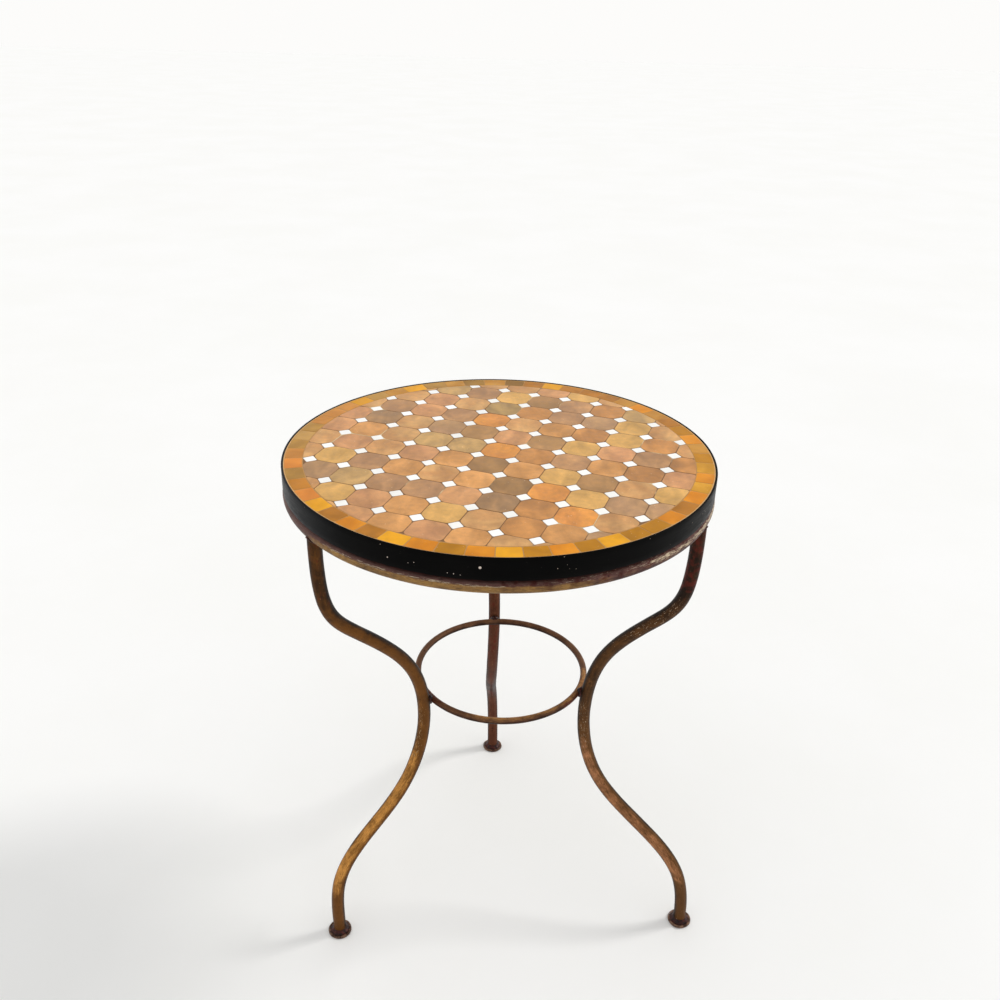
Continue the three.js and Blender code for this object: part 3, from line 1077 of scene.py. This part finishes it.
def make_feet(foot_material, weld_material):
    """Hammered disc feet with a raised rim, and the pool of weld that holds each leg."""
    for index, side in enumerate(LEG_SIDES):
        low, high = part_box(f"foot_{side}")
        centre = (low + high) / 2
        centre.z = 0.0
        radius = (high.x - low.x) / 2
        thick = high.z
        profile = [
            (0.5 * MM, 0.0),
            (radius - 1 * MM, 0.0),
            (radius - 0.2 * MM, 0.8 * MM),
            (radius, thick / 2),
            (radius - 0.3 * MM, thick - 1 * MM),
            (radius - 1.4 * MM, thick),
            (radius - 3.2 * MM, thick - 0.9 * MM),
            (0.5 * MM, thick - 1.1 * MM),
        ]

        def foot_ripple(angle, r, z, index=index):
            if r < 1 * MM:
                return 0.0
            return 0.5 * MM * wobble((math.cos(angle), math.sin(angle), z * 30), 1.6, index + 20)

        turned_piece(
            f"{side}_foot_disc", centre, profile, 72, foot_ripple, "base", foot_material,
            f"foot_{side}",
        )
        mound = [
            (7 * MM, 3.2 * MM),
            (14.6 * MM, 3.2 * MM),
            (14.2 * MM, 4.6 * MM),
            (13.0 * MM, 5.8 * MM),
            (11.6 * MM, 6.7 * MM),
            (10.4 * MM, 8.2 * MM),
            (9.4 * MM, 9.6 * MM),
            (7 * MM, 9.6 * MM),
        ]

        def weld_ripple(angle, r, z, index=index):
            if r < 8 * MM or z < 3.3 * MM:
                return 0.0
            beads = 0.4 * MM * math.sin(9 * angle + index) * smoothstep(8 * MM, 13 * MM, r)
            around = (math.cos(angle), math.sin(angle), z * 200)
            return beads + 0.7 * MM * wobble(around, 2.2, index + 30)

        turned_piece(
            f"{side}_foot_weld", centre, mound, 64, weld_ripple, "base", weld_material,
            f"weld_foot_{side}",
        )


def make_ring_welds(material):
    """A bead laid round the top of each leg, following the saddle where it meets the ring."""
    for index, side in enumerate(LEG_SIDES):
        centre = box_centre(f"weld_ring_{side}")
        arm = centre - TOP_MIDDLE
        radial = Vector((arm.x, arm.y, 0)).normalized()
        tangential = UP.cross(radial)
        path = []
        for i in range(72):
            angle = 2 * math.pi * i / 72
            offset = radial * math.cos(angle) + tangential * math.sin(angle)
            drop = math.sqrt(1 - (0.93 * math.cos(angle)) ** 2)
            head = Vector((centre.x, centre.y, RING_HEIGHT))
            path.append(head + (offset - UP * drop) * BAR_RADIUS)

        def radius_at(share, angle, p, index=index):
            beads = 0.2 * MM * math.sin(share * 2 * math.pi * 13 + index)
            return WELD_BEAD_RADIUS + beads + 0.25 * MM * wobble(p, 160, index + 40)

        swept(
            f"{side}_ring_weld", path, UP, radius_at, 12, True, material,
            f"weld_ring_{side}",
        )


def make_waist_welds(material):
    """A short lump of weld where the waist ring touches each leg."""
    pole = UP * 9.2 * MM
    for index, side in enumerate(LEG_SIDES):
        centre = box_centre(f"weld_stretcher_{side}")
        arm = centre - WAIST_MIDDLE
        radial = Vector((arm.x, arm.y, 0)).normalized()
        tangential = UP.cross(radial)
        rows, columns = 18, 26
        points = [centre - pole]
        for r in range(1, rows):
            pitch = math.pi * r / rows
            for c in range(columns):
                turn = 2 * math.pi * c / columns
                direction = (
                    radial * math.cos(turn) * math.sin(pitch)
                    + tangential * math.sin(turn) * math.sin(pitch)
                    - UP * math.cos(pitch)
                )
                reach = 6.0 * abs(direction.dot(radial)) + 7.6 * abs(direction.dot(tangential))
                reach += 8.6 * abs(direction.z)
                reach /= sum(abs(direction.dot(a)) for a in (radial, tangential, UP))
                reach *= 1 + 0.13 * wobble(direction * 0.01, 260, index + 50)
                points.append(centre + direction * reach * MM)
        points.append(centre + pole)
        top = len(points) - 1
        faces = []
        for c in range(columns):
            d = (c + 1) % columns
            faces.append((0, 1 + d, 1 + c))
            faces.append((top - columns + c, top - columns + d, top))
            for r in range(rows - 2):
                a = 1 + r * columns
                faces.append((a + c, a + d, a + columns + d, a + columns + c))
        add_piece(
            f"{side}_waist_weld", points, faces, "base", material,
            f"weld_stretcher_{side}", 60,
        )


# ---- The CAD pieces that stay: the slab and the rods cast into it ----


def dress_cad_pieces():
    dressed = {"cement_slab": cast_cement()}
    rod = bare_iron()
    for name in ("rebar_x_front", "rebar_x_back", "rebar_y_left", "rebar_y_right"):
        dressed[name] = rod
    for name, material in dressed.items():
        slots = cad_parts[name].data.materials
        slots.clear()
        slots.append(material)


# ---- The studio ----


def add_floor():
    mesh = bpy.data.meshes.new("floor")
    reach = 30.0
    mesh.from_pydata([(x * reach, y * reach, 0) for x, y in CORNERS], [], [(0, 1, 2, 3)])
    mesh.materials.append(studio_floor())
    floor = bpy.data.objects.new("floor", mesh)
    bpy.context.scene.collection.objects.link(floor)


def add_key_light():
    """A broad soft light from the right and a little behind, as from a tall window."""
    light = bpy.data.lights.new("window_light", "SUN")
    light.energy = 1.05
    light.angle = math.radians(13)
    light.color = (1.0, 0.99, 0.97)
    lamp = bpy.data.objects.new("window_light", light)
    towards_light = Vector((1.0, 0.34, 0.95))
    lamp.rotation_euler = towards_light.to_track_quat("Z", "Y").to_euler()
    bpy.context.scene.collection.objects.link(lamp)


def add_world():
    """A pale room, dimmer at the front. The camera sees a plain backdrop in its place."""
    strength_behind = 1.14
    strength_in_front = 0.72
    world = bpy.data.worlds.new("pale_room")
    bpy.context.scene.world = world
    world.use_nodes = True
    tree = world.node_tree
    tree.nodes.clear()
    output = tree.nodes.new("ShaderNodeOutputWorld")
    backdrop = tree.nodes.new("ShaderNodeBackground")
    backdrop.inputs["Color"].default_value = (0.98, 0.973, 0.958, 1)
    room = tree.nodes.new("ShaderNodeBackground")
    where = tree.nodes.new("ShaderNodeTexCoord")
    split = tree.nodes.new("ShaderNodeSeparateXYZ")
    front = tree.nodes.new("ShaderNodeMapRange")
    front.interpolation_type = "SMOOTHSTEP"
    front.inputs["From Min"].default_value = -0.15
    front.inputs["From Max"].default_value = -0.75
    front.inputs["To Min"].default_value = strength_behind
    front.inputs["To Max"].default_value = strength_in_front
    chooser = tree.nodes.new("ShaderNodeMixShader")
    ray = tree.nodes.new("ShaderNodeLightPath")
    tree.links.new(where.outputs["Generated"], split.inputs[0])
    tree.links.new(split.outputs[1], front.inputs["Value"])
    tree.links.new(front.outputs["Result"], room.inputs["Strength"])
    tree.links.new(ray.outputs["Is Camera Ray"], chooser.inputs[0])
    tree.links.new(room.outputs[0], chooser.inputs[1])
    tree.links.new(backdrop.outputs[0], chooser.inputs[2])
    tree.links.new(chooser.outputs[0], output.inputs[0])


def add_camera():
    """Stands in front of the table and above it, looking down on the top."""
    place = Vector((-0.0227, -1.2637, 1.304))
    down = 0.4625
    turn = 0.0108
    roll = 0.0258
    level = Vector((math.sin(turn), math.cos(turn), 0))
    forward = level * math.cos(down) - UP * math.sin(down)
    right = Vector((math.cos(turn), -math.sin(turn), 0))
    above = right.cross(forward)
    right_rolled = right * math.cos(roll) + above * math.sin(roll)
    above_rolled = above * math.cos(roll) - right * math.sin(roll)
    data = bpy.data.cameras.new("camera")
    data.sensor_width = 36
    data.lens = 35.5
    camera = bpy.data.objects.new("camera", data)
    axes = Matrix((right_rolled, above_rolled, -forward)).transposed()
    camera.matrix_world = Matrix.Translation(place) @ axes.to_4x4()
    bpy.context.scene.collection.objects.link(camera)
    bpy.context.scene.camera = camera


def make_top():
    field_low, field_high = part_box("mosaic_field")
    border_low, border_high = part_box("border_mosaic")
    grout_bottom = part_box("grout_bed")[0].z
    top = field_high.z
    field_radius = (field_high.x - field_low.x) / 2
    border_radius = (border_high.x - border_low.x) / 2
    outlines = lay_field(field_radius - 0.2 * MM, top)
    outlines += lay_border(field_radius + 0.7 * MM, border_radius - BORDER_OUTER_JOINT, top)
    cement = grout(field_radius, border_radius)
    grout_top = top - GROUT_BELOW_TILE
    lay_grout(outlines, cement, border_radius + 0.2 * MM, grout_bottom, top - TILE_THICKNESS, grout_top)
    make_hoop(hoop_paint())


def make_base():
    bar_patina = patina("bronze_patina", 0x1E120A, 0x6C4318, 0xD2944A, 0x5E2616, 0xC2A276)
    copper_patina = patina("copper_patina", 0x1E120A, 0x62401F, 0xBC8158, 0x561F14, 0xC2A88C)
    maroon_patina = patina("maroon_patina", 0x22100C, 0x5E3522, 0x9A6A42, 0x661F16, 0xB08C70)
    ring_patina = patina("ring_patina", 0x2C1A17, 0x634640, 0x987440, 0x4A231D, 0xD6C3A4)
    rod_patina = patina("rod_patina", 0x2C1911, 0x6C4A34, 0xB98750, 0x5C2E20, 0xB99A78)
    weld = weld_skin("weld_paint", 0x1E0A08, 0x4A1A12)
    foot = weld_skin("foot_paint", 0x3E261A, 0x846450)
    make_legs({"left": bar_patina, "right": copper_patina, "back": maroon_patina})
    make_rings(ring_patina, rod_patina)
    make_feet(foot, weld)
    make_ring_welds(weld)
    make_waist_welds(weld)


add_camera()
add_world()
add_floor()
add_key_light()
make_top()
make_base()
dress_cad_pieces()
bpy.context.scene.view_settings.view_transform = "Standard"
